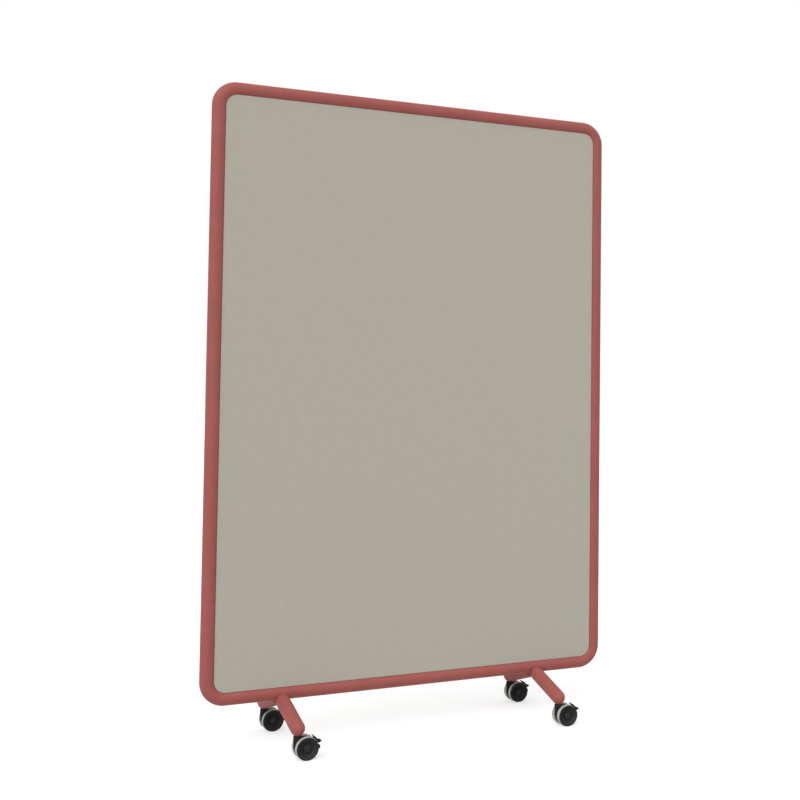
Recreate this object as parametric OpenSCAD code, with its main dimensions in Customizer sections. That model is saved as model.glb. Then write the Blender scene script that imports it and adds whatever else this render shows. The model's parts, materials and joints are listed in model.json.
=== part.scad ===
// Rolling partition: a fabric panel in a round-cornered tube frame, on two feet with swivel castors.
// X runs along the panel, the front faces -Y, Z is up, and the castors stand on z = 0 when at rest.

/* [Frame] */
// Overall width of the tube frame
frame_w = 1200; // [900:10:1600]
// Overall height of the tube frame, without the feet
frame_h = 1660; // [1200:10:1900]
// Height of the middle of the bottom rail above the floor
rail_h = 139; // [130:1:170]
// Outer diameter of the frame tube and the legs
tube_d = 38; // [34:1:42]
// Wall of the frame tube and the legs
tube_wall = 1.5; // [1.2:0.1:2.5]
// Radius of the corner bends, at the middle of the tube
bend_r = 48; // [44:1:120]
// Length of the sleeve inside each joint between the two halves
sleeve_l = 100; // [60:5:160]
// Wall of the sleeve
sleeve_wall = 2; // [1.5:0.5:4]

/* [Panel] */
// Thickness of the panel, fabrics included
panel_t = 24; // [22:1:28]
// Thickness of each facing board
board_t = 5; // [4:0.5:6]
// Thickness of the fabric
fabric_t = 1; // [0.6:0.1:1.4]
// Gap between the edge of the core and the tube
core_gap = 2; // [1:0.5:4]
// Gap between the fabric and the tube
fabric_gap = 0.4; // [0.3:0.1:1]

/* [Panel lugs] */
// Number of lugs on each upright
upright_lugs = 3; // [2:1:5]
// Number of lugs on each rail
rail_lugs = 2; // [2:1:4]
// Length of a lug along the tube
lug_l = 34; // [24:1:50]
// Width of a lug, inwards from the tube
lug_w = 26; // [22:1:36]
// Thickness of a lug
lug_t = 3; // [2:0.5:4]
// Diameter of the lug screws
screw_d = 4; // [3:0.5:5]
// Length of the lug screws
screw_l = 9.5; // [8:0.5:10]

/* [Feet] */
// Distance between the two feet
foot_spacing = 764; // [500:4:860]
// Distance between the front and rear castor stems
stem_spacing = 316; // [260:4:420]
// Distance between the centres of the two top domes of a foot
dome_spacing = 52; // [44:1:60]
// Depth of the centres of the top domes below the middle of the rail
dome_drop = 20; // [17:1:26]
// Length of the straight skirt of a leg cap
cap_skirt = 24; // [20:1:32]
// Wall of the leg caps
cap_wall = 2; // [1.5:0.5:3]
// Outer diameter of the threaded castor bush
bush_d = 18; // [16:1:22]
// Length of the castor bush
bush_l = 20; // [14:1:24]

/* [Castors] */
// Diameter over the treads
wheel_d = 60; // [50:1:66]
// Width over both wheels of a castor
castor_w = 46; // [42:1:56]
// Distance of the axle behind the swivel axis
trail = 21; // [18:1:26]
// Gap between the top of the wheels and the underside of the legs
wheel_room = 1; // [1:0.5:6]
// Thickness of the hood between the wheels
hood_t = 13; // [12:0.5:15]
// Diameter of the boss round the swivel pin
boss_d = 22; // [18:1:26]
// Diameter of the threaded end of the stem
stem_d = 10; // [8:1:12]
// Diameter of the swivel pin
swivel_d = 8; // [6:0.5:9]
// Length of the swivel pin
swivel_l = 25; // [18:1:28]
// Diameter of the axle
axle_d = 6; // [5:0.5:8]
// Thickness of a tread
tread_t = 4; // [3:0.5:5]
// Width of the wheel's outer flange, beside the tread
flange_w = 1.8; // [1.4:0.2:4]

/* [Brake levers] */
// Width of the pedal plate over the treads
pedal_w = 24; // [20:1:36]
// Thickness of the pedal plate
pedal_t = 2.5; // [2:0.5:4]
// Gap between the pedal plate and the treads, brake off
pedal_gap = 3; // [3:0.5:6]
// Length of the toe tab
tab_l = 10; // [8:1:16]
// Width of the toe tab
tab_w = 22; // [10:1:24]
// Thickness of the web that carries the pedal
web_t = 6; // [4:0.5:6]
// Diameter of the brake pin
pin_d = 4; // [3:0.5:5]

/* [Hidden] */
$fn = 96;
CORNERS = ["left_front", "right_front", "left_rear", "right_rear"];
FRAME_NODES = ["frame_left_half", "frame_right_half", "frame_sleeves", "panel_lugs", "lug_screws",
    "panel_core", "front_board", "rear_board", "front_fabric", "rear_fabric", "castor_bushes"];
CORNER_NODES = ["leg_tube", "leg_top_cap", "leg_end_cap", "castor_stem", "castor_hood", "castor_axle",
    "outer_wheel", "inner_wheel", "outer_tyre", "inner_tyre", "brake_lever", "brake_pin"];

coat = "#9E5A54";
cloth = "#ACA89A";
board = "#B79C74";
steel = "#B9BCC0";
nylon = "#26272A";
grey_tread = "#B4B2AC";

// Fits: radial clearance of a turning pin, of a fixed one, and of a welded seam
run_fit = 0.05;
set_fit = 0.05;
weld_gap = 0.1;
swivel_gap = 0.3;
edge_cut = 1;

tube_r = tube_d / 2;
rail_w = frame_w - tube_d;
rail_rise = frame_h - tube_d;
straight_w = rail_w - 2 * bend_r;
straight_h = rail_rise - 2 * bend_r;
frame_mid = rail_h + rail_rise / 2;

core_half = panel_t / 2 - board_t - fabric_t;
board_face = core_half + board_t;
panel_face = panel_t / 2;
lug_end = tube_r + core_gap + lug_w;
lug_hole = lug_end - lug_w / 2;
pocket_gap = 0.5;
screw_head_d = 1.9 * screw_d;
screw_head_h = 0.6 * screw_d;

wheel_r = wheel_d / 2;
leg_under = wheel_d + wheel_room;
leg_end_h = leg_under + tube_r;
leg_run = (stem_spacing - dome_spacing) / 2;
leg_rise = rail_h - dome_drop - leg_end_h;
leg_l = norm([leg_run, leg_rise]);
leg_lean = atan2(leg_run, leg_rise);

// Stem: its collar stands out beyond the thread, and the thread ends short of the bush's top
collar_t = 1.5;
collar_step = 2;
thread_short = 2;
bush_bottom = leg_under + collar_t;

// Wheels: distances from the castor's middle, and depths below the outer face. The face is a dish
// that slopes in from the rim to a groove, with a cap in the middle over the end of the axle
wheel_side_gap = 1.1;
wheel_in = hood_t / 2 + wheel_side_gap;
wheel_out = castor_w / 2;
rim_step = 1;
rim_in = wheel_in + rim_step;
rim_wall = 3.5;
tread_out = wheel_out - flange_w;
flange_drop = 0.5;
face_edge = 0.7;
lip_w = 2.6;
lip_drop = 0.4;
dish_r = 13;
dish_depth = 7.5;
web_wall = 3;
cap_r = 9;
cap_depth = 4.5;
cap_slope = 0.6;
axle_cover = 7.5;
axle_l = castor_w - 2 * axle_cover;
hub_wall = 4.5;
tread_edge = 1;

// Hood: its outline runs from the boss round the nose, under the axle and out to the tail
hood_top = leg_under - swivel_gap;
hood_r = wheel_r - 3;
hood_clear = 1.2;
hood_floor_gap = 5;
hood_tail = 8.5;
neck_step = 0.6;
nose_at = 202;
nose_h = 10;
tail_root = [-35, 15];
tail_at = [-6, 4];

// Brake lever: angles about the axle, brake off, and how far it turns down
pedal_low = 18;
pedal_high = 54;
tab_lift = 24;
brake_at = 42;
brake_travel = 12;
pedal_r = wheel_r + pedal_gap;
brake_r = hood_r - 5;
eye_wall = 2.5;
eye_gap = 0.8;
slot_inset = 0.1;
brake_eye_r = pin_d / 2 + eye_wall;
web_low_at = pedal_low + 5;
web_high_at = pedal_high - 4;
web_side_gap = 0.4;
web_sweep_gap = 2;
pin_inset = 0.3;
// Depth that two outlines of one piece share, so that they are one solid
bite = 1;

function polar(r, a) = r * [cos(a), sin(a)];
function heading(v) = atan2(v[1], v[0]);
brake_pivot = polar(brake_r, brake_at);

function side_of(c) = c == "left_front" || c == "left_rear" ? -1 : 1;
function facing_of(c) = c == "left_front" || c == "right_front" ? -1 : 1;

// Evenly spread positions, centred on zero
function spread(count, span) = [for (i = [0 : count - 1]) span * (i + 0.5) / count - span / 2];

// ---- Frame -------------------------------------------------------------------------------------

// Ring for a tube, or a full circle where bore is 0
module tube_ring(r, bore) {
    difference() {
        circle(r);
        if (bore > 0) circle(bore);
    }
}

// Turns a shape drawn flat in X and Y upright, about the middle of the frame
module upright() {
    translate([0, 0, frame_mid]) rotate([90, 0, 0]) children();
}

// One C-shaped half of the loop, on the side of +X, drawn flat
module half_loop(r, bore) {
    for (end = [-1, 1])
        translate([0, end * rail_rise / 2, 0]) rotate([0, 90, 0])
            linear_extrude(straight_w / 2) tube_ring(r, bore);
    for (end = [-1, 1])
        translate([straight_w / 2, end * straight_h / 2, 0]) rotate([0, 0, end > 0 ? 0 : -90])
            rotate_extrude(angle = 90) translate([bend_r, 0]) tube_ring(r, bore);
    translate([rail_w / 2, -straight_h / 2, 0]) rotate([-90, 0, 0])
        linear_extrude(straight_h) tube_ring(r, bore);
}

module frame_half(side) {
    color(coat) upright() rotate([0, side > 0 ? 0 : 180, 0]) half_loop(tube_r, tube_r - tube_wall);
}

// Sleeves at the middle of both rails
module frame_sleeves() {
    sleeve_r = tube_r - tube_wall - set_fit;
    color(steel) upright()
        for (end = [-1, 1])
            translate([-sleeve_l / 2, end * rail_rise / 2, 0]) rotate([0, 90, 0])
                linear_extrude(sleeve_l) tube_ring(sleeve_r, sleeve_r - sleeve_wall);
}

// ---- Panel -------------------------------------------------------------------------------------

// Rounded rectangle whose edge lies inset from the middle of the tube all round
module inset_outline(inset) {
    corner_r = bend_r - inset;
    square([rail_w - 2 * inset, straight_h], center = true);
    square([straight_w, rail_rise - 2 * inset], center = true);
    for (x = [-1, 1], y = [-1, 1])
        translate([x * straight_w / 2, y * straight_h / 2]) circle(corner_r);
}

// Plate between two depths, front side; its edge is cut to follow a tube of radius cut_r
module edged_plate(depth_in, depth_out, cut_r) {
    difference() {
        upright() translate([0, 0, depth_in])
            linear_extrude(depth_out - depth_in) inset_outline(tube_r / 2);
        upright() half_loop(cut_r, 0);
        upright() rotate([0, 180, 0]) half_loop(cut_r, 0);
    }
}

module facing_board(facing) {
    color(board) rotate([0, 0, facing > 0 ? 180 : 0])
        edged_plate(core_half, board_face, tube_r + fabric_gap + fabric_t);
}

// Fabric over the face and the edge of a board
module facing_fabric(facing) {
    color(cloth) rotate([0, 0, facing > 0 ? 180 : 0]) difference() {
        edged_plate(core_half, panel_face, tube_r + fabric_gap);
        edged_plate(core_half - edge_cut, board_face, tube_r + fabric_gap + fabric_t);
    }
}

// Puts a lug at each of its places: local +X points inwards, and the tube runs along local Z
module at_lugs() {
    for (side = [-1, 1], z = spread(upright_lugs, straight_h))
        translate([side * rail_w / 2, 0, frame_mid + z]) mirror([side > 0 ? 1 : 0, 0, 0]) children();
    for (end = [-1, 1], x = spread(rail_lugs, straight_w))
        translate([x, 0, frame_mid + end * rail_rise / 2]) rotate([0, end * 90, 0]) children();
}

// Countersunk screw, its head's face at z = 0, or its hole where gap is over 0
module screw_shape(gap) {
    shank_r = screw_d / 2 + gap;
    head_r = screw_head_d / 2 + gap;
    rotate_extrude() polygon(concat(gap > 0 ? [[0, gap], [head_r, gap]] : [[0, 0]], [
        [head_r, 0], [shank_r, -screw_head_h], [shank_r, -screw_l - gap], [0, -screw_l - gap]]));
}

module at_screw() {
    at_lugs() translate([lug_hole, core_half, 0]) rotate([-90, 0, 0]) children();
}

module lug() {
    difference() {
        translate([tube_r / 2, core_half - lug_t, -lug_l / 2]) cube([lug_end - tube_r / 2, lug_t, lug_l]);
        translate([0, 0, -lug_l]) cylinder(h = 2 * lug_l, r = tube_r + weld_gap);
        translate([lug_hole, core_half, 0]) rotate([-90, 0, 0]) screw_shape(set_fit);
    }
}

module panel_lugs() {
    color(steel) at_lugs() lug();
}

module lug_screws() {
    color(steel) at_screw() screw_shape(0);
}

module panel_core() {
    pocket_l = lug_l + 2 * pocket_gap;
    color(board) difference() {
        upright() translate([0, 0, -core_half])
            linear_extrude(2 * core_half) inset_outline(tube_r + core_gap);
        at_lugs() translate([0, core_half - lug_t - set_fit, -pocket_l / 2])
            cube([lug_end + pocket_gap, lug_t + edge_cut, pocket_l]);
        at_screw() translate([0, 0, -screw_l - set_fit])
            cylinder(h = screw_l, r = screw_d / 2 + set_fit);
    }
}

// ---- Feet --------------------------------------------------------------------------------------

// Above the floor, under the stem of one castor
module at_stem(c) {
    translate([side_of(c) * foot_spacing / 2, facing_of(c) * stem_spacing / 2, 0]) children();
}

// Local Z runs up the leg, from the centre of its end dome
module at_leg(c) {
    at_stem(c) translate([0, 0, leg_end_h])
        rotate([facing_of(c) * leg_lean, 0, 0]) children();
}

module leg_tube(c) {
    color(coat) at_leg(c) translate([0, 0, cap_skirt])
        linear_extrude(leg_l - 2 * cap_skirt) tube_ring(tube_r, tube_r - tube_wall);
}

// Domed cap: the dome's centre at the origin, the skirt upwards
module cap_shape() {
    rotate_extrude() difference() {
        cap_outline(tube_r, cap_skirt);
        cap_outline(tube_r - cap_wall, cap_skirt + edge_cut);
    }
}

module cap_outline(r, skirt) {
    intersection() {
        union() {
            circle(r);
            translate([-r, 0]) square([2 * r, skirt]);
        }
        translate([0, -r]) square([r, r + skirt]);
    }
}

// Cap at the top of a leg, coped to the underside of the bottom rail
module leg_top_cap(c) {
    color(coat) difference() {
        at_leg(c) translate([0, 0, leg_l]) rotate([180, 0, 0]) cap_shape();
        translate([-frame_w / 2, 0, rail_h]) rotate([0, 90, 0])
            cylinder(h = frame_w, r = tube_r + weld_gap);
    }
}

// Cap at the foot of a leg, with the hole for the castor bush
module leg_end_cap(c) {
    color(coat) difference() {
        at_leg(c) cap_shape();
        at_stem(c) translate([0, 0, leg_under - edge_cut])
            cylinder(h = tube_r, d = bush_d + 2 * set_fit);
    }
}

module castor_bushes() {
    color(steel) for (c = CORNERS) at_stem(c) translate([0, 0, bush_bottom])
        linear_extrude(bush_l) tube_ring(bush_d / 2, stem_d / 2 + set_fit);
}

// ---- Castors -----------------------------------------------------------------------------------

// The axle's middle; drawn in local X (backwards) and Y (upwards), local Z points to the front
module at_axle(c) {
    at_stem(c) translate([trail, 0, wheel_r]) rotate([90, 0, 0]) children();
}

// Stem: thread, collar and swivel pin
module castor_stem(c) {
    collar_r = stem_d / 2 + collar_step;
    thread_top = bush_bottom + bush_l - thread_short;
    color(steel) at_stem(c) rotate_extrude() polygon([
        [0, leg_under - swivel_l], [swivel_d / 2, leg_under - swivel_l], [swivel_d / 2, leg_under],
        [collar_r, leg_under], [collar_r, bush_bottom], [stem_d / 2, bush_bottom],
        [stem_d / 2, thread_top], [0, thread_top]]);
}

// Side view of the hood, about the axle
module hood_outline() {
    // The plate's corners stay inside the round boss
    neck = sqrt(pow(boss_d / 2, 2) - pow(hood_t / 2, 2)) - neck_step;
    top = hood_top - wheel_r;
    intersection() {
        circle(hood_r);
        translate([-hood_r, hood_floor_gap - wheel_r]) square(2 * wheel_r);
    }
    polygon([
        [-trail - neck, top], [-trail + neck, top], [0, 0],
        polar(hood_r - weld_gap, nose_at), [-trail - neck, nose_h]]);
    polygon([
        [0, 0], polar(hood_r - weld_gap, tail_root[0]), polar(wheel_r + hood_tail, tail_at[0]),
        polar(wheel_r + hood_tail, tail_at[1]), polar(hood_r - weld_gap, tail_root[1])]);
}

// Space that the web of the brake lever sweeps, about the axle. Its straight sides cross the round
// end instead of touching it
module lever_slot() {
    room = brake_eye_r + eye_gap;
    side = room - slot_inset;
    reach = wheel_d;
    low = heading(polar(pedal_r + bite, web_low_at) - brake_pivot) - brake_travel - web_sweep_gap;
    high = heading(polar(pedal_r + bite, web_high_at) - brake_pivot) + web_sweep_gap;
    translate(brake_pivot) {
        circle(room);
        polygon([
            [0, 0], polar(side, low - 90), polar(side, low - 90) + polar(reach, low),
            polar(side, high + 90) + polar(reach, high), polar(side, high + 90)]);
    }
}

module castor_hood(c) {
    slot_w = web_t + 2 * web_side_gap;
    color(nylon) difference() {
        union() {
            at_axle(c) translate([0, 0, -hood_t / 2]) linear_extrude(hood_t) hood_outline();
            difference() {
                at_stem(c) translate([0, 0, wheel_r]) cylinder(h = hood_top - wheel_r, d = boss_d);
                at_axle(c) for (s = [-1, 1]) translate([0, 0, s * (hood_t + castor_w) / 2])
                    cylinder(h = castor_w, r = wheel_r + hood_clear, center = true);
            }
        }
        at_stem(c) translate([0, 0, leg_under - swivel_l - swivel_gap])
            cylinder(h = swivel_l + edge_cut, r = swivel_d / 2 + run_fit);
        at_axle(c) cylinder(h = castor_w, r = axle_d / 2 + set_fit, center = true);
        at_axle(c) translate([0, 0, -slot_w / 2]) linear_extrude(slot_w) lever_slot();
        at_axle(c) translate(brake_pivot)
            cylinder(h = castor_w, r = pin_d / 2 + set_fit, center = true);
    }
}

module castor_axle(c) {
    color(steel) at_axle(c) cylinder(h = axle_l, d = axle_d, center = true);
}

// Turns a profile of [radius, distance from the castor's middle] about the axle
module wheel_turned(c, outer) {
    at_axle(c) rotate([outer == (facing_of(c) < 0) ? 0 : 180, 0, 0]) rotate_extrude() children();
}

// Dished nylon wheel with its rim, hub, flange and cap
module wheel(c, outer) {
    hub_r = axle_d / 2 + hub_wall;
    bore_r = axle_d / 2 + run_fit;
    bore_end = axle_l / 2 + swivel_gap;
    rim_r = wheel_r - tread_t;
    rim_bore = rim_r - rim_wall;
    flange_r = wheel_r - flange_drop;
    lip_r = flange_r - face_edge - lip_w;
    lip_face = wheel_out - lip_drop;
    dish_face = wheel_out - dish_depth;
    web_in = dish_face - web_wall;
    web_rim = web_in + (lip_face - dish_face) * (rim_bore - dish_r) / (lip_r - dish_r);
    color(nylon) wheel_turned(c, outer) polygon([
        [bore_r, wheel_in], [hub_r, wheel_in], [hub_r, web_in], [dish_r, web_in], [rim_bore, web_rim],
        [rim_bore, rim_in], [rim_r, rim_in], [rim_r, tread_out], [flange_r, tread_out],
        [flange_r, wheel_out - face_edge], [flange_r - face_edge, wheel_out], [lip_r + lip_drop, wheel_out],
        [lip_r, lip_face], [dish_r, dish_face], [cap_r + cap_slope, dish_face],
        [cap_r, wheel_out - cap_depth - cap_slope], [cap_r - cap_slope, wheel_out - cap_depth],
        [0, wheel_out - cap_depth], [0, bore_end], [bore_r, bore_end]]);
}

module tyre(c, outer) {
    seat_r = wheel_r - tread_t + set_fit;
    near = rim_in + set_fit;
    far = tread_out - set_fit;
    corner = 0.3 * tread_edge;
    color(grey_tread) wheel_turned(c, outer) polygon([
        [seat_r, near], [wheel_r - tread_edge, near], [wheel_r - corner, near + corner],
        [wheel_r, near + tread_edge], [wheel_r, far - tread_edge],
        [wheel_r - corner, far - corner], [wheel_r - tread_edge, far], [seat_r, far]]);
}

// Pedal plate round the treads, about the axle
module pedal_outline() {
    intersection() {
        difference() {
            circle(pedal_r + pedal_t);
            circle(pedal_r);
        }
        polygon([[0, 0], polar(2 * pedal_r, pedal_low), polar(2 * pedal_r, pedal_high)]);
    }
}

module tab_outline() {
    translate(polar(pedal_r + pedal_t / 2, pedal_low + bite)) rotate(tab_lift)
        translate([-pedal_t / 2, -pedal_t / 2]) square([tab_l, pedal_t]);
}

module web_outline() {
    eye_side = 115;
    translate(brake_pivot) circle(brake_eye_r);
    polygon([
        brake_pivot + polar(brake_eye_r, brake_at - eye_side), polar(pedal_r + bite, web_low_at),
        polar(pedal_r + bite, web_high_at), brake_pivot + polar(brake_eye_r, brake_at + eye_side)]);
}

module brake_lever(c) {
    color(nylon) at_axle(c) difference() {
        union() {
            translate([0, 0, -pedal_w / 2]) linear_extrude(pedal_w) pedal_outline();
            translate([0, 0, -tab_w / 2]) linear_extrude(tab_w) tab_outline();
            translate([0, 0, -web_t / 2]) linear_extrude(web_t) web_outline();
        }
        translate(brake_pivot) cylinder(h = castor_w, r = pin_d / 2 + run_fit, center = true);
    }
}

module brake_pin(c) {
    color(steel) at_axle(c) translate(brake_pivot)
        cylinder(h = hood_t - 2 * pin_inset, d = pin_d, center = true);
}

// ---- Assembly ----------------------------------------------------------------------------------

frame_half(-1);  // frame_left_half
frame_half(1);  // frame_right_half
frame_sleeves();
panel_lugs();
lug_screws();
panel_core();
facing_board(-1);  // front_board
facing_board(1);  // rear_board
facing_fabric(-1);  // front_fabric
facing_fabric(1);  // rear_fabric
castor_bushes();
for (c = CORNERS) {
    leg_tube(c);
    leg_top_cap(c);
    leg_end_cap(c);
    castor_stem(c);
    castor_hood(c);
    castor_axle(c);
    wheel(c, true);
    wheel(c, false);
    tyre(c, true);
    tyre(c, false);
    brake_lever(c);
    brake_pin(c);
}
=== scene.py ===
"""Looks of the rolling partition: coated tube frame, cloth panel, splayed feet, twin-wheel castors."""

import json
import math

import bmesh
import bpy
from mathutils import Matrix, Vector


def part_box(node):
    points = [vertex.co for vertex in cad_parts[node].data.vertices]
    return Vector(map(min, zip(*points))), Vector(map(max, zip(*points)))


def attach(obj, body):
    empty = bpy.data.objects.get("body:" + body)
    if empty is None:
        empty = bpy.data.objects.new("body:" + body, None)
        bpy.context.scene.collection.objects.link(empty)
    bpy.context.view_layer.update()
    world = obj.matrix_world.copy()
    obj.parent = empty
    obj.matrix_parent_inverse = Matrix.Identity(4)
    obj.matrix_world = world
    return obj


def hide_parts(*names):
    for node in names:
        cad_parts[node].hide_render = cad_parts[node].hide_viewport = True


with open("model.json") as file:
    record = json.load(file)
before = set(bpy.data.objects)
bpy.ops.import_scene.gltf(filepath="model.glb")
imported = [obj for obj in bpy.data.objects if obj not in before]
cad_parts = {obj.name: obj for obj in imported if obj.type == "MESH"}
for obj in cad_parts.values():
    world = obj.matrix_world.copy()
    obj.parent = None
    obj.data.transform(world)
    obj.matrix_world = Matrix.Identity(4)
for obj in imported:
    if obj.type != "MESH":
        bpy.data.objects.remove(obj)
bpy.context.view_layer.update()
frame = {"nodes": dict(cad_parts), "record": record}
MM = 0.001
CORNERS = ("left_front", "right_front", "left_rear", "right_rear")

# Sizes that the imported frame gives, in metres
loop_low = Vector(map(min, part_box("frame_left_half")[0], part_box("frame_right_half")[0]))
loop_high = Vector(map(max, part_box("frame_left_half")[1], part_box("frame_right_half")[1]))
tube_r = (loop_high.y - loop_low.y) / 2
rail_w = loop_high.x - loop_low.x - 2 * tube_r
rail_rise = loop_high.z - loop_low.z - 2 * tube_r
loop_mid = (loop_low.z + loop_high.z) / 2
rail_z = loop_low.z + tube_r
# The cloth's flat face and its tucked edge, as distances from the panel's middle plane
cloth_face = -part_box("front_fabric")[0].y
cloth_tuck = -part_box("front_fabric")[1].y

# Sizes that the frame doesn't give: the bend of the tube's middle line, and the gap from tube to cloth
BEND_R = 48 * MM
CLOTH_GAP = 0.4 * MM


# ---- Camera ---------------------------------------------------------------------------------------

IMAGE_W = 800
SENSOR_W = 36
# Pixels from the eye to the picture plane, and how far the picture's centre is off the optical axis
EYE_TO_PICTURE = 1303.54
CENTRE_OFF = (-160, -80)
CAMERA_AT = (-1.4078, -3.4835, 0.9773)
# Turn of the camera about X, Y and Z, in radians, from looking along +Y with Z up
CAMERA_TURN = (-0.05493, -0.49178, 0.03496)


def make_camera():
    data = bpy.data.cameras.new("camera")
    data.sensor_width = SENSOR_W
    data.lens = EYE_TO_PICTURE / IMAGE_W * SENSOR_W
    data.shift_x = CENTRE_OFF[0] / IMAGE_W
    data.shift_y = CENTRE_OFF[1] / IMAGE_W
    turn_x, turn_y, turn_z = (Matrix.Rotation(a, 3, axis) for a, axis in zip(CAMERA_TURN, "XYZ"))
    # Right, down and forwards for a level camera that looks along +Y
    level = Matrix(((1, 0, 0), (0, 0, -1), (0, 1, 0)))
    seen = turn_z @ turn_y @ turn_x @ level
    pose = Matrix((seen[0], -seen[1], -seen[2])).transposed().to_4x4()
    pose.translation = CAMERA_AT
    camera = bpy.data.objects.new("camera", data)
    camera.matrix_world = pose
    bpy.context.scene.collection.objects.link(camera)
    bpy.context.scene.camera = camera


# ---- Materials ------------------------------------------------------------------------------------

# Nearly all of a noise texture lies between these
NOISE_LOW = 0.3
NOISE_HIGH = 0.7


def linear(hex_colour):
    """A written sRGB colour as linear RGBA, by the sRGB curve."""
    channels = [int(hex_colour[i : i + 2], 16) / 255 for i in (1, 3, 5)]
    return (*(c / 12.92 if c <= 0.04045 else ((c + 0.055) / 1.055) ** 2.4 for c in channels), 1)


def add(tree, kind, inputs=None, **settings):
    """Adds a node, sets it, and links or sets its inputs."""
    node = tree.nodes.new(kind)
    for name, value in settings.items():
        setattr(node, name, value)
    for socket, value in (inputs or {}).items():
        if isinstance(value, bpy.types.NodeSocket):
            tree.links.new(value, node.inputs[socket])
        else:
            node.inputs[socket].default_value = value
    return node


def new_material(name):
    material = bpy.data.materials.new(name)
    material.use_nodes = True
    material.node_tree.nodes.clear()
    return material, material.node_tree


def finish_material(material, **shader):
    """Ends a material in a principled shader with these inputs, spaces in their names as underscores."""
    tree = material.node_tree
    sockets = {name.replace("_", " "): value for name, value in shader.items()}
    surface = add(tree, "ShaderNodeBsdfPrincipled", sockets)
    add(tree, "ShaderNodeOutputMaterial", {"Surface": surface.outputs[0]})
    return material


def mottled(tree, place, size, low, high, detail=2):
    """Noise of about this size in metres, spread from low to high."""
    noise = add(tree, "ShaderNodeTexNoise", {"Vector": place, "Scale": 1 / size, "Detail": detail})
    return add(tree, "ShaderNodeMapRange", {
        "Value": noise.outputs["Fac"],
        "From Min": NOISE_LOW, "From Max": NOISE_HIGH, "To Min": low, "To Max": high,
    }).outputs["Result"]


def clouded(tree, place, size, first, second, detail=2):
    """A colour that wanders between two written ones, in clouds of about this size in metres."""
    share = mottled(tree, place, size, 0, 1, detail)
    ends = {0: share, 6: linear(first), 7: linear(second)}
    return add(tree, "ShaderNodeMix", ends, data_type="RGBA").outputs[2]


def grained(tree, place, size, depth, strength, detail=2):
    """The surface's direction under a grain of about this size and depth in metres."""
    grain = add(tree, "ShaderNodeTexNoise", {"Vector": place, "Scale": 1 / size, "Detail": detail})
    return add(tree, "ShaderNodeBump", {
        "Height": grain.outputs["Fac"], "Distance": depth, "Strength": strength,
    }).outputs[0]


def powder_coated_steel():
    """Polyester powder sprayed on blasted tube and baked: satin, an even colour, faint orange peel."""
    material, tree = new_material("powder_coated_steel")
    place = add(tree, "ShaderNodeTexCoord").outputs["Object"]
    # Orange peel is 1 to 2 mm across
    peel = grained(tree, place, 1.6 * MM, 0.05 * MM, 0.6, detail=1)
    return finish_material(
        material,
        Base_Color=clouded(tree, place, 60 * MM, "#9A514B", "#A0554F"),
        Roughness=mottled(tree, place, 25 * MM, 0.56, 0.66),
        Specular_IOR_Level=0.35,
        Normal=peel,
    )


def woven_wool_cloth():
    """Wool and polyamide upholstery cloth, plain weave of melange yarn: matt, greige, a little lint."""
    material, tree = new_material("woven_wool_cloth")
    # The real threads are 0.9 mm apart, drawn 2.4 mm apart so that the weave shows
    thread = 2.4 * MM
    # Where one thread dips under the next, as a share of its wave, and the lint's part in the height
    dip = 0.15
    lint_part = 0.5
    # Melange: slubs run along the threads, these many millimetres long and wide
    slub_long, slub_wide = 25, 2.5
    uv = add(tree, "ShaderNodeTexCoord").outputs["UV"]
    across = add(tree, "ShaderNodeSeparateXYZ", {0: uv})
    waves = []
    for axis in (0, 1):
        turn = {0: across.outputs[axis], 1: math.pi / thread}
        angle = add(tree, "ShaderNodeMath", turn, operation="MULTIPLY")
        waves.append(add(tree, "ShaderNodeMath", {0: angle.outputs[0]}, operation="SINE").outputs[0])
    which = add(tree, "ShaderNodeMath", {0: waves[0], 1: waves[1]}, operation="MULTIPLY").outputs[0]
    over = add(tree, "ShaderNodeMapRange", {"Value": which, "From Min": -dip, "From Max": dip}).outputs[0]
    round_threads = [add(tree, "ShaderNodeMath", {0: w}, operation="ABSOLUTE").outputs[0] for w in waves]
    height = add(tree, "ShaderNodeMix", {0: over, 2: round_threads[0], 3: round_threads[1]}).outputs[0]
    lint = add(tree, "ShaderNodeTexNoise", {"Vector": uv, "Scale": 1 / (0.8 * MM), "Detail": 3})
    raised = {0: lint.outputs["Fac"], 1: lint_part, 2: height}
    fuzzy = add(tree, "ShaderNodeMath", raised, operation="MULTIPLY_ADD")
    bump = add(tree, "ShaderNodeBump", {
        "Height": fuzzy.outputs[0], "Distance": 0.25 * MM, "Strength": 0.4,
    })
    slubs = []
    for stretch in ((1 / slub_long, 1 / slub_wide, 1), (1 / slub_wide, 1 / slub_long, 1)):
        run = add(tree, "ShaderNodeMapping", {"Vector": uv, "Scale": [s / MM for s in stretch]})
        slub = add(tree, "ShaderNodeTexNoise", {"Vector": run.outputs[0], "Scale": 1, "Detail": 2})
        slubs.append(slub.outputs["Fac"])
    shown = add(tree, "ShaderNodeMix", {0: over, 2: slubs[0], 3: slubs[1]}).outputs[0]
    share = add(tree, "ShaderNodeMapRange", {
        "Value": shown, "From Min": NOISE_LOW, "From Max": NOISE_HIGH,
    }).outputs[0]
    yarns = {0: share, 6: linear("#AEAA9D"), 7: linear("#B6B2A5")}
    colour = add(tree, "ShaderNodeMix", yarns, data_type="RGBA")
    return finish_material(
        material,
        Base_Color=colour.outputs[2],
        Roughness=0.92,
        Specular_IOR_Level=0.25,
        Sheen_Weight=0.12,
        Sheen_Roughness=0.5,
        Normal=bump.outputs[0],
    )


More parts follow.
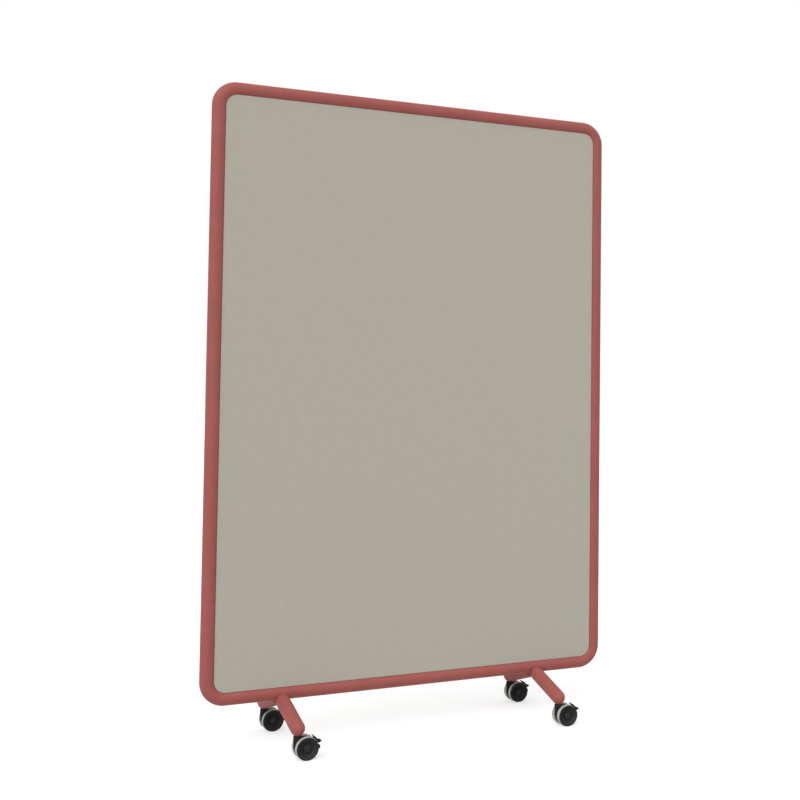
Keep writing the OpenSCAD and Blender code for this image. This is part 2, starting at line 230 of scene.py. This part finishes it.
def moulded_nylon(name, dark, light):
    """Glass-filled nylon, injection moulded in an eroded tool: black, a fine dry grain, hardly a shine."""
    material, tree = new_material(name)
    place = add(tree, "ShaderNodeTexCoord").outputs["Object"]
    return finish_material(
        material,
        Base_Color=clouded(tree, place, 9 * MM, dark, light),
        Roughness=mottled(tree, place, 14 * MM, 0.40, 0.54),
        Specular_IOR_Level=0.05,
        Normal=grained(tree, place, 0.5 * MM, 0.03 * MM, 0.5),
    )


def moulded_tread():
    """Soft thermoplastic polyurethane moulded on the rim: pale grey, matt, dulled where it rolls."""
    material, tree = new_material("moulded_tread")
    place = add(tree, "ShaderNodeTexCoord").outputs["Object"]
    return finish_material(
        material,
        Base_Color=clouded(tree, place, 5 * MM, "#B0AEA8", "#BEBCB6", detail=4),
        Roughness=mottled(tree, place, 8 * MM, 0.52, 0.68),
        Normal=grained(tree, place, 0.7 * MM, 0.04 * MM, 0.5, detail=3),
    )


def zinc_plated_steel():
    """Turned steel, zinc plated and blue passivated: bright, faintly streaked round the part."""
    material, tree = new_material("zinc_plated_steel")
    place = add(tree, "ShaderNodeTexCoord").outputs["Object"]
    # Tool marks 0.4 mm apart along the part, which change 60 times in a metre round it
    marks_round = 60
    marks_along = 1 / (0.4 * MM)
    stretch = {"Vector": place, "Scale": (marks_round, marks_round, marks_along)}
    streak = add(tree, "ShaderNodeMapping", stretch).outputs[0]
    return finish_material(
        material,
        Base_Color=clouded(tree, place, 6 * MM, "#B9BDC2", "#C9CCCE"),
        Metallic=1.0,
        Roughness=mottled(tree, place, 4 * MM, 0.26, 0.38),
        Normal=grained(tree, streak, 1, 0.01 * MM, 0.5),
    )


def black_passivated_steel():
    """Turned steel, zinc plated and black passivated: charcoal, satin, a little blotchy."""
    material, tree = new_material("black_passivated_steel")
    place = add(tree, "ShaderNodeTexCoord").outputs["Object"]
    return finish_material(
        material,
        Base_Color=clouded(tree, place, 5 * MM, "#2A2B2E", "#3A3B3E"),
        Metallic=0.9,
        Roughness=mottled(tree, place, 4 * MM, 0.38, 0.52),
    )


def drawn_steel():
    """Cold-drawn mild steel left bare inside the coat: grey, dull, drawn lines along it."""
    material, tree = new_material("drawn_steel")
    place = add(tree, "ShaderNodeTexCoord").outputs["Object"]
    return finish_material(
        material,
        Base_Color=clouded(tree, place, 12 * MM, "#83878B", "#9A9DA0"),
        Metallic=1.0,
        Roughness=mottled(tree, place, 3 * MM, 0.42, 0.58),
    )


def raw_fibreboard():
    """Medium-density fibreboard, sawn: pale brown, felted fibres 2 mm long, quite matt."""
    material, tree = new_material("raw_fibreboard")
    place = add(tree, "ShaderNodeTexCoord").outputs["Object"]
    return finish_material(
        material,
        Base_Color=clouded(tree, place, 2 * MM, "#A98D68", "#BFA580", detail=5),
        Roughness=0.85,
    )


COAT = powder_coated_steel()
CLOTH = woven_wool_cloth()
# The hoods and levers are the same black nylon as the wheels, drawn darker: painted shade for the shade
# they sit in between the wheels
WHEEL_NYLON = moulded_nylon("wheel_nylon", "#2F2F30", "#39393A")
SHADED_HOOD_NYLON = moulded_nylon("hood_nylon_painted_shade", "#222223", "#2A2A2B")
TREAD = moulded_tread()
ZINC = zinc_plated_steel()
BLACK_ZINC = black_passivated_steel()
STEEL = drawn_steel()
BOARD = raw_fibreboard()
SLOT_FINISH = {
    "powder_coated_steel": COAT,
    "bright_steel": STEEL,
    "zinc_plated_steel": ZINC,
    "black_plated_steel": BLACK_ZINC,
    "core_board": BOARD,
    "facing_board": BOARD,
    "panel_fabric": CLOTH,
    # Black nylon nodes take the darker nylon, whose colour holds painted shade
    "black_nylon": SHADED_HOOD_NYLON,
    "grey_tread": TREAD,
}


def dress_cad_nodes():
    for part in frame["record"]["subparts"]:
        node = frame["nodes"][part["node"]]
        node.data.materials.clear()
        node.data.materials.append(SLOT_FINISH[part["material_slot"]])


# ---- Mesh helpers ---------------------------------------------------------------------------------

# Corners closer than this are one corner
SAME_PLACE = 0.005 * MM


def new_piece(name, mesh, finish):
    piece = bpy.data.objects.new(name, mesh)
    bpy.context.scene.collection.objects.link(piece)
    if not mesh.materials:
        mesh.materials.append(finish)
    return piece


def applied(piece):
    """Turns the piece and its modifiers into a plain mesh."""
    bpy.context.view_layer.update()
    graph = bpy.context.evaluated_depsgraph_get()
    mesh = bpy.data.meshes.new_from_object(piece.evaluated_get(graph))
    piece.modifiers.clear()
    piece.data = mesh
    mesh.name = piece.name
    return piece


def closed(mesh):
    """Merges doubles and turns every face outwards."""
    form = bmesh.new()
    form.from_mesh(mesh)
    bmesh.ops.remove_doubles(form, verts=form.verts, dist=SAME_PLACE)
    bmesh.ops.recalc_face_normals(form, faces=form.faces)
    form.to_mesh(mesh)
    form.free()


def flat_kept_flat(piece):
    """Shades rounded edges smoothly and leaves the flat faces between them flat."""
    piece.data.shade_smooth()
    piece.modifiers.new("flat_faces", "WEIGHTED_NORMAL").keep_sharp = True
    return applied(piece)


# ---- Panel cloth ----------------------------------------------------------------------------------

# Drawn a little thinner than the real 1 mm, so that it stays off the board
CLOTH_T = 0.96 * MM
# Radius of the fold where the flat cloth turns in at the tube
FOLD_R = 1 * MM
# Steps round a corner, along a rail and an upright, across the tucked edge and round the fold
ARC_STEPS = 12
SIDE_STEPS = 48
UPRIGHT_STEPS = 64
EDGE_STEPS = 6
FOLD_STEPS = 8


def towards(angle):
    """Unit vector in X and Z at this angle from X."""
    return Vector((math.cos(angle), math.sin(angle)))


def panel_outline(inset):
    """Points round a rectangle with round corners, inset from the tube's centreline, in X and Z about
    the panel's middle. They start at the middle of the lower left corner and run anticlockwise."""
    radius = BEND_R - inset
    half = Vector((rail_w / 2 - BEND_R, rail_rise / 2 - BEND_R))
    centres = [Vector((x * half.x, z * half.y)) for x, z in ((-1, -1), (1, -1), (1, 1), (-1, 1))]
    points = []
    for k, centre in enumerate(centres):
        start = math.pi * (1 + k / 2)
        turns = [start + math.pi / 2 * i / ARC_STEPS for i in range(ARC_STEPS)]
        points += [centre + radius * towards(turn) for turn in turns]
        out = radius * towards(start + math.pi / 2)
        steps = UPRIGHT_STEPS if k % 2 else SIDE_STEPS
        points += [(centre + out).lerp(centres[(k + 1) % 4] + out, i / steps) for i in range(steps)]
    return points[ARC_STEPS // 2 :] + points[: ARC_STEPS // 2]


def cloth_profile():
    """Inset and depth of the cloth's outside, from its hidden edge over the fold to the flat face."""
    side_r = tube_r + CLOTH_GAP
    fold_depth = cloth_face - FOLD_R
    fold_inset = math.sqrt((side_r + FOLD_R) ** 2 - fold_depth**2)
    touch_depth = fold_depth * side_r / (side_r + FOLD_R)
    rows = []
    for i in range(EDGE_STEPS):
        depth = cloth_tuck + (touch_depth - cloth_tuck) * i / EDGE_STEPS
        rows.append((math.sqrt(side_r**2 - depth**2), depth))
    start = math.atan2(-fold_depth, -fold_inset) + 2 * math.pi
    for i in range(FOLD_STEPS + 1):
        at = start + (math.pi / 2 - start) * i / FOLD_STEPS
        rows.append((fold_inset + FOLD_R * math.cos(at), fold_depth + FOLD_R * math.sin(at)))
    return rows


def rolled_edge(rows):
    """Vertices, places on the flat cloth and faces of the rings that turn round the board's edge."""
    lengths = [0.0]
    for (inset, depth), (next_inset, next_depth) in zip(rows, rows[1:]):
        lengths.append(lengths[-1] + math.hypot(next_inset - inset, next_depth - depth))
    vertices, places, faces = [], [], []
    for (inset, depth), length in zip(rows, lengths):
        unrolled = panel_outline(rows[-1][0] + length - lengths[-1])
        vertices += [(p.x, -depth, loop_mid + p.y) for p in panel_outline(inset)]
        places += [(p.x, p.y) for p in unrolled]
    count = len(panel_outline(0))
    for r in range(len(rows) - 1):
        for i in range(count):
            j = (i + 1) % count
            faces.append([r * count + i, r * count + j, (r + 1) * count + j, (r + 1) * count + i])
    return vertices, places, faces


def flat_cloth(edge, first, vertices, places, faces):
    """Fills the ring of points edge, whose vertices start at number first, with a grid of squares."""
    across, up = SIDE_STEPS + ARC_STEPS, UPRIGHT_STEPS + ARC_STEPS
    count = len(edge)
    low_side = list(range(across + 1))
    high_side = [2 * across + up - i for i in range(across + 1)]
    left_side = [(-j) % count for j in range(up + 1)]
    right_side = [across + j for j in range(up + 1)]
    corners = [edge[0], edge[across], edge[across + up], edge[2 * across + up]]
    grid = {(i, 0): first + n for i, n in enumerate(low_side)}
    grid.update({(i, up): first + n for i, n in enumerate(high_side)})
    grid.update({(0, j): first + n for j, n in enumerate(left_side)})
    grid.update({(across, j): first + n for j, n in enumerate(right_side)})
    for j in range(1, up):
        for i in range(1, across):
            u, v = i / across, j / up
            shares = ((1 - u) * (1 - v), u * (1 - v), u * v, (1 - u) * v)
            point = edge[low_side[i]].lerp(edge[high_side[i]], v)
            point += edge[left_side[j]].lerp(edge[right_side[j]], u)
            point -= sum((c * share for c, share in zip(corners, shares)), Vector((0, 0)))
            grid[i, j] = len(vertices)
            vertices.append((point.x, -cloth_face, loop_mid + point.y))
            places.append((point.x, point.y))
    for j in range(up):
        for i in range(across):
            faces.append([grid[i, j], grid[i + 1, j], grid[i + 1, j + 1], grid[i, j + 1]])


def cloth_mesh():
    """The front cloth's outside, its UV map in metres on the flat cloth."""
    rows = cloth_profile()
    vertices, places, faces = rolled_edge(rows)
    edge = panel_outline(rows[-1][0])
    flat_cloth(edge, len(vertices) - len(edge), vertices, places, faces)
    mesh = bpy.data.meshes.new("panel_cloth")
    mesh.from_pydata(vertices, [], faces)
    uv = mesh.uv_layers.new(name="UVMap")
    for loop in mesh.loops:
        uv.data[loop.index].uv = places[loop.vertex_index]
    mesh.shade_smooth()
    return mesh


def panel_cloths():
    """Cloth over the front and the rear board: the face, the fold at the tube and the tucked edge."""
    for side in ("front", "rear"):
        mesh = cloth_mesh()
        if side == "rear":
            mesh.transform(Matrix.Rotation(math.pi, 4, "Z"))
        cloth = new_piece(f"{side}_cloth", mesh, CLOTH)
        shell = cloth.modifiers.new("thickness", "SOLIDIFY")
        shell.thickness = CLOTH_T
        shell.offset = -1
        applied(cloth)
        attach(cloth, "frame")
        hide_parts(f"{side}_fabric")


# ---- Geometry node trees --------------------------------------------------------------------------

SOCKETS = {float: "NodeSocketFloat", int: "NodeSocketInt", tuple: "NodeSocketVector"}
# Steps round a tube or wheel, a weld bead and a grip rib, in a bend of the tube and in a rounded corner
ROUND_STEPS = 96
BEAD_STEPS = 16
RIB_STEPS = 10
BEND_STEPS = 32
CORNER_STEPS = 4


def geometry_tree(name, **sizes):
    """A tree that takes geometry, these sizes and a material. Gives it and its input node's sockets."""
    tree = bpy.data.node_groups.new(name, "GeometryNodeTree")
    tree.interface.new_socket("Geometry", in_out="INPUT", socket_type="NodeSocketGeometry")
    for size, value in sizes.items():
        socket = tree.interface.new_socket(size, in_out="INPUT", socket_type=SOCKETS[type(value)])
        socket.default_value = value
    tree.interface.new_socket("finish", in_out="INPUT", socket_type="NodeSocketMaterial")
    tree.interface.new_socket("Geometry", in_out="OUTPUT", socket_type="NodeSocketGeometry")
    return tree, add(tree, "NodeGroupInput").outputs


def end_tree(tree, form, given):
    whole = add(tree, "GeometryNodeRealizeInstances", {"Geometry": form})
    shaded = add(tree, "GeometryNodeSetShadeSmooth", {"Geometry": whole.outputs[0]})
    finished = add(tree, "GeometryNodeSetMaterial", {
        "Geometry": shaded.outputs[0], "Material": given["finish"],
    })
    add(tree, "NodeGroupOutput", {"Geometry": finished.outputs[0]})
    return tree


def tube_loop_tree():
    """A round tube bent into an upright rectangle with round corners, about the origin."""
    tree, given = geometry_tree("tube_loop", width=1.0, height=1.0, bend_radius=0.05, tube_radius=0.02)
    path = add(tree, "GeometryNodeCurvePrimitiveQuadrilateral", {
        "Width": given["width"], "Height": given["height"],
    })
    bent = add(tree, "GeometryNodeFilletCurve", {
        "Curve": path.outputs[0], "Count": BEND_STEPS, "Radius": given["bend_radius"],
    }, mode="POLY")
    ring = add(tree, "GeometryNodeCurvePrimitiveCircle", {
        "Resolution": ROUND_STEPS, "Radius": given["tube_radius"],
    })
    tube = add(tree, "GeometryNodeCurveToMesh", {
        "Curve": bent.outputs[0], "Profile Curve": ring.outputs[0],
    })
    stood = add(tree, "GeometryNodeTransform", {
        "Geometry": tube.outputs[0], "Rotation": (math.pi / 2, 0, 0),
    })
    return end_tree(tree, stood.outputs[0], given)


def weld_bead_tree():
    """A bead with ripples, swept along each closed line of edges that it is given."""
    tree, given = geometry_tree("weld_bead", bead_radius=0.002, ripple=0.002)
    steps_in_ripple = 6.0
    # How much a ripple stands out, as a share of the bead's radius
    swelling = 0.06
    line = add(tree, "GeometryNodeMeshToCurve", {"Mesh": given["Geometry"]})
    step = add(tree, "ShaderNodeMath", {0: given["ripple"], 1: steps_in_ripple}, operation="DIVIDE")
    path = add(tree, "GeometryNodeResampleCurve", {
        "Curve": line.outputs[0], "Length": step.outputs[0],
    }, mode="LENGTH")
    along = add(tree, "GeometryNodeSplineParameter")
    lengths = {0: along.outputs["Length"], 1: given["ripple"]}
    turns = add(tree, "ShaderNodeMath", lengths, operation="DIVIDE")
    angle = add(tree, "ShaderNodeMath", {0: turns.outputs[0], 1: 2 * math.pi}, operation="MULTIPLY")
    wave = add(tree, "ShaderNodeMath", {0: angle.outputs[0]}, operation="SINE")
    shares = {0: wave.outputs[0], 1: swelling, 2: 1.0}
    swell = add(tree, "ShaderNodeMath", shares, operation="MULTIPLY_ADD")
    ring = add(tree, "GeometryNodeCurvePrimitiveCircle", {
        "Resolution": BEAD_STEPS, "Radius": given["bead_radius"],
    })
    bead = add(tree, "GeometryNodeCurveToMesh", {
        "Curve": path.outputs[0], "Profile Curve": ring.outputs[0], "Scale": swell.outputs[0],
    })
    return end_tree(tree, bead.outputs[0], given)


def turned_tree():
    """Turns the section that it is given about the Z axis and rounds its corners. A point of the
    section is (distance from the axis, distance below the origin, 0)."""
    tree, given = geometry_tree("turned", corner_radius=0.0005)
    # The section rides on a circle of this radius, moved in by as much
    lathe_r = 0.1
    section = add(tree, "GeometryNodeMeshToCurve", {"Mesh": given["Geometry"]})
    rounded = add(tree, "GeometryNodeFilletCurve", {
        "Curve": section.outputs[0], "Count": CORNER_STEPS, "Radius": given["corner_radius"],
        "Limit Radius": True,
    }, mode="POLY")
    placed = add(tree, "GeometryNodeTransform", {
        "Geometry": rounded.outputs[0], "Translation": (-lathe_r, 0, 0),
    })
    turn = add(tree, "GeometryNodeCurvePrimitiveCircle", {"Resolution": ROUND_STEPS, "Radius": lathe_r})
    form = add(tree, "GeometryNodeCurveToMesh", {
        "Curve": turn.outputs[0], "Profile Curve": placed.outputs[0],
    })
    return end_tree(tree, form.outputs[0], given)


def grip_ribs_tree():
    """A row of round ribs, each along Y, one step apart."""
    tree, given = geometry_tree("grip_ribs", count=4, first=(0.0, 0.0, 0.0), step=(0.0, 0.0, 0.0),
                                rib_length=0.01, rib_radius=0.0005)
    places = add(tree, "GeometryNodeMeshLine", {
        "Count": given["count"], "Start Location": given["first"], "Offset": given["step"],
    })
    line = add(tree, "GeometryNodeCurvePrimitiveLine", {
        "Direction": (0, 1, 0), "Length": given["rib_length"],
    }, mode="DIRECTION")
    ring = add(tree, "GeometryNodeCurvePrimitiveCircle", {
        "Resolution": RIB_STEPS, "Radius": given["rib_radius"],
    })
    rib = add(tree, "GeometryNodeCurveToMesh", {
        "Curve": line.outputs[0], "Profile Curve": ring.outputs[0], "Fill Caps": True,
    })
    ribs = add(tree, "GeometryNodeInstanceOnPoints", {
        "Points": places.outputs[0], "Instance": rib.outputs[0],
    })
    return end_tree(tree, ribs.outputs[0], given)


def grown(name, tree, finish, start=None, **sizes):
    """A piece that the tree makes, from the mesh start where it has one, as a plain mesh."""
    piece = new_piece(name, start or bpy.data.meshes.new(name), finish)
    form = piece.modifiers.new("form", "NODES")
    form.node_group = tree
    for socket in tree.interface.items_tree:
        if socket.in_out == "INPUT" and socket.name in sizes:
            form[socket.identifier] = sizes[socket.name]
        elif socket.in_out == "INPUT" and socket.name == "finish":
            form[socket.identifier] = finish
    return applied(piece)


# ---- Tube frame and feet --------------------------------------------------------------------------

# The weld beads: radius, distance from ripple to ripple, and points on the line of each
WELD_R = 1.8 * MM
WELD_RIPPLE = 2.2 * MM
WELD_STEPS = 96
# The middle of a leg's top dome is this far out from the rail's middle and this far below it
DOME_OUT = 26 * MM
DOME_DROP = 20 * MM


def frame_loop():
    """Both halves of the loop as one coated tube, their joints welded and ground flush."""
    loop = grown("frame_loop", tube_loop_tree(), COAT, width=rail_w, height=rail_rise,
                 bend_radius=BEND_R, tube_radius=tube_r)
    loop.data.transform(Matrix.Translation((0, 0, loop_mid)))
    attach(loop, "frame")
    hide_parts("frame_left_half", "frame_right_half")


def seam_points(stem_x, facing):
    """Closed line where a leg's top dome meets the bottom rail."""
    to_dome = Vector((0, facing * DOME_OUT, -DOME_DROP))
    far = to_dome.length
    out = to_dome.normalized()
    up = Vector((0, facing * DOME_DROP, DOME_OUT)).normalized()
    half_x = math.sqrt(tube_r**2 - (far - tube_r) ** 2)
    points = []
    for i in range(WELD_STEPS):
        at = 2 * math.pi * i / WELD_STEPS
        x = half_x * math.sin(at)
        reach = (far**2 + x**2) / (2 * far)
        rise = math.copysign(math.sqrt(max(tube_r**2 - reach**2, 0)), math.cos(at))
        points.append(Vector((stem_x + x, 0, rail_z)) + out * reach + up * rise)
    return points


def leg_welds():
    """The weld beads round the tops of the legs."""
    points, edges = [], []
    for corner in CORNERS:
        low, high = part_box(f"{corner}_castor_stem")
        first = len(points)
        points += seam_points((low.x + high.x) / 2, -1 if corner.endswith("front") else 1)
        edges += [(first + i, first + (i + 1) % WELD_STEPS) for i in range(WELD_STEPS)]
    lines = bpy.data.meshes.new("leg_welds")
    lines.from_pydata(points, edges, [])
    welds = grown("leg_welds", weld_bead_tree(), COAT, lines, bead_radius=WELD_R, ripple=WELD_RIPPLE)
    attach(welds, "frame")


# ---- Castors --------------------------------------------------------------------------------------

# Wheel section in millimetres: distance from the axle, distance from the castor's middle. It runs
# from the middle of the cap over the dished face, the flange, the seat of the tyre and the hub
WHEEL_SECTION = (
    (0, 18.9), (5.5, 18.75), (8.4, 18.5), (9, 17.9), (9, 10.8), (13.5, 10.8), (25.6, 21.9), (28.7, 23),
    (29.3, 22.5), (29.3, 21.2), (26, 21.2), (26, 8.6), (22.5, 8.6), (22.5, 16.2), (13.8, 8.6),
    (7.5, 8.6), (7.5, 7.6), (3.05, 7.6), (3.05, 15.8), (0, 15.8),
)
TYRE_SECTION = ((26.05, 8.65), (30, 8.65), (30, 21.15), (26.05, 21.15))
# Radii of the rounded edges
WHEEL_EDGE_R = 0.3 * MM
TYRE_EDGE_R = 1.3 * MM
HOOD_EDGE_R = 0.8 * MM
LEVER_EDGE_R = 0.5 * MM
EDGE_SEGMENTS = 3
# An edge sharper than this is rounded, and one flatter than this is no edge
SHARP_ANGLE = math.radians(30)
FLAT_ANGLE = math.radians(1)
# Toe tab of the brake lever: its root's angle and distance from the axle, its slope and thickness
TAB_ROOT_ANGLE = math.radians(19)
TAB_ROOT_R = 34.25 * MM
TAB_SLOPE = math.radians(24)
TAB_T = 2.5 * MM
# Grip ribs across the tab: how many, the first one's distance from its root, spacing, length, radius
RIB_COUNT = 4
RIB_START = 2.6 * MM
RIB_STEP = 1.7 * MM
RIB_L = 17 * MM
RIB_R = 0.45 * MM


def section_line(name, points, closed_line):
    """The section's points, joined in turn by edges."""
    mesh = bpy.data.meshes.new(name)
    edges = [(i, i + 1) for i in range(len(points) - 1)]
    if closed_line:
        edges.append((len(points) - 1, 0))
    mesh.from_pydata([(r * MM, out * MM, 0) for r, out in points], edges, [])
    return mesh


def axle_middle(corner):
    low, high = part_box(f"{corner}_castor_axle")
    return (low + high) / 2


def castor_wheels():
    """Wheels and tyres, turned about their axles."""
    tree = turned_tree()
    forms = (
        ("wheel", WHEEL_SECTION, False, WHEEL_EDGE_R, WHEEL_NYLON, "black_nylon"),
        ("tyre", TYRE_SECTION, True, TYRE_EDGE_R, TREAD, "grey_tread"),
    )
    for corner in CORNERS:
        axle = axle_middle(corner)
        for side in ("outer", "inner"):
            low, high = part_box(f"{corner}_{side}_wheel")
            outwards = math.copysign(1, (low.y + high.y) / 2 - axle.y)
            place = Matrix.Translation(axle) @ Matrix.Rotation(outwards * math.pi / 2, 4, "X")
            for kind, section, closed_line, edge_r, finish, slot in forms:
                name = f"{corner}_{side}_{kind}_form"
                line = section_line(name, section, closed_line)
                piece = grown(name, tree, finish, line, corner_radius=edge_r)
                closed(piece.data)
                piece.data.transform(place)
                flat_kept_flat(piece)
                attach(piece, f"{corner}_{side}_roller")
                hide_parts(f"{corner}_{side}_{kind}")


def eased(node, edge_r, body, finish):
    """A moulded piece like the solid, its sharp edges rounded."""
    mesh = frame["nodes"][node].data.copy()
    form = bmesh.new()
    form.from_mesh(mesh)
    bmesh.ops.remove_doubles(form, verts=form.verts, dist=SAME_PLACE)
    bmesh.ops.dissolve_limit(form, angle_limit=FLAT_ANGLE, verts=form.verts, edges=form.edges)
    form.to_mesh(mesh)
    form.free()
    mesh.materials.clear()
    piece = new_piece(f"{node}_form", mesh, finish)
    bevel = piece.modifiers.new("rounded_edges", "BEVEL")
    bevel.width = edge_r
    bevel.segments = EDGE_SEGMENTS
    bevel.limit_method = "ANGLE"
    bevel.angle_limit = SHARP_ANGLE
    applied(piece)
    flat_kept_flat(piece)
    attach(piece, body)
    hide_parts(node)


def castor_bodies():
    """Hoods and brake levers, with grip ribs moulded on the toe tabs."""
    tree = grip_ribs_tree()
    tab_root = Vector((math.cos(TAB_ROOT_ANGLE), 0, math.sin(TAB_ROOT_ANGLE))) * TAB_ROOT_R
    along = Vector((math.cos(TAB_SLOPE), 0, math.sin(TAB_SLOPE)))
    off_tab = Vector((-along.z, 0, along.x))
    first_rib = tab_root + along * RIB_START + off_tab * TAB_T / 2 - Vector((0, RIB_L / 2, 0))
    for corner in CORNERS:
        # Hoods, levers and ribs take the darker nylon, whose colour is painted shade
        eased(f"{corner}_castor_hood", HOOD_EDGE_R, f"{corner}_castor", SHADED_HOOD_NYLON)
        eased(f"{corner}_brake_lever", LEVER_EDGE_R, f"{corner}_brake", SHADED_HOOD_NYLON)
        first = axle_middle(corner) + first_rib
        ribs = grown(f"{corner}_grip_ribs", tree, SHADED_HOOD_NYLON, count=RIB_COUNT, first=tuple(first),
                     step=tuple(along * RIB_STEP), rib_length=RIB_L, rib_radius=RIB_R)
        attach(ribs, f"{corner}_brake")


# ---- Stage and light ------------------------------------------------------------------------------

# Half the floor's width in metres, its colour, and how much brighter the camera sees it
FLOOR_HALF = 60
FLOOR_COLOUR = "#C8C8C8"
FLOOR_LIFT = 0.55
# The white room's light on the object. The camera sees the room at 1
SKY_LEVEL = 0.78
# Soft window light from the upper left, over the camera's shoulder, as wide as this many degrees
SUN_TOWARDS = (-0.52, -0.46, 0.72)
SUN_STRENGTH = 1.5
SUN_SOFTNESS = 60


def seen_rays(tree):
    """1 on rays that show the background: from the camera, and in metal and glass."""
    path = add(tree, "ShaderNodeLightPath").outputs
    first_two = {0: path["Is Camera Ray"], 1: path["Is Glossy Ray"]}
    shown = add(tree, "ShaderNodeMath", first_two, operation="ADD")
    total = {0: shown.outputs[0], 1: path["Is Transmission Ray"]}
    return add(tree, "ShaderNodeMath", total, operation="ADD", use_clamp=True).outputs[0]


def make_stage():
    material, tree = new_material("studio_floor")
    lift = add(tree, "ShaderNodeMath", {0: seen_rays(tree), 1: FLOOR_LIFT}, operation="MULTIPLY")
    finish_material(
        material, Base_Color=linear(FLOOR_COLOUR), Roughness=0.9, Specular_IOR_Level=0.0,
        Emission_Color=(1, 1, 1, 1), Emission_Strength=lift.outputs[0],
    )
    mesh = bpy.data.meshes.new("studio_floor")
    corners = [(x * FLOOR_HALF, y * FLOOR_HALF, 0) for x, y in ((-1, -1), (1, -1), (1, 1), (-1, 1))]
    mesh.from_pydata(corners, [], [(0, 1, 2, 3)])
    new_piece("studio_floor", mesh, material)
    world = bpy.data.worlds.new("studio")
    world.use_nodes = True
    tree = world.node_tree
    tree.nodes.clear()
    level = add(tree, "ShaderNodeMapRange", {"Value": seen_rays(tree), "To Min": SKY_LEVEL, "To Max": 1.0})
    sky = add(tree, "ShaderNodeBackground", {"Color": (1, 1, 1, 1), "Strength": level.outputs[0]})
    add(tree, "ShaderNodeOutputWorld", {"Surface": sky.outputs[0]})
    bpy.context.scene.world = world


def light_scene():
    data = bpy.data.lights.new("soft_sun", "SUN")
    data.energy = SUN_STRENGTH
    data.angle = math.radians(SUN_SOFTNESS)
    sun = bpy.data.objects.new("soft_sun", data)
    sun.rotation_euler = (-Vector(SUN_TOWARDS)).to_track_quat("-Z", "Y").to_euler()
    bpy.context.scene.collection.objects.link(sun)
    bpy.context.scene.view_settings.view_transform = "Standard"


make_camera()
dress_cad_nodes()
frame_loop()
leg_welds()
castor_wheels()
castor_bodies()
panel_cloths()
make_stage()
light_scene()
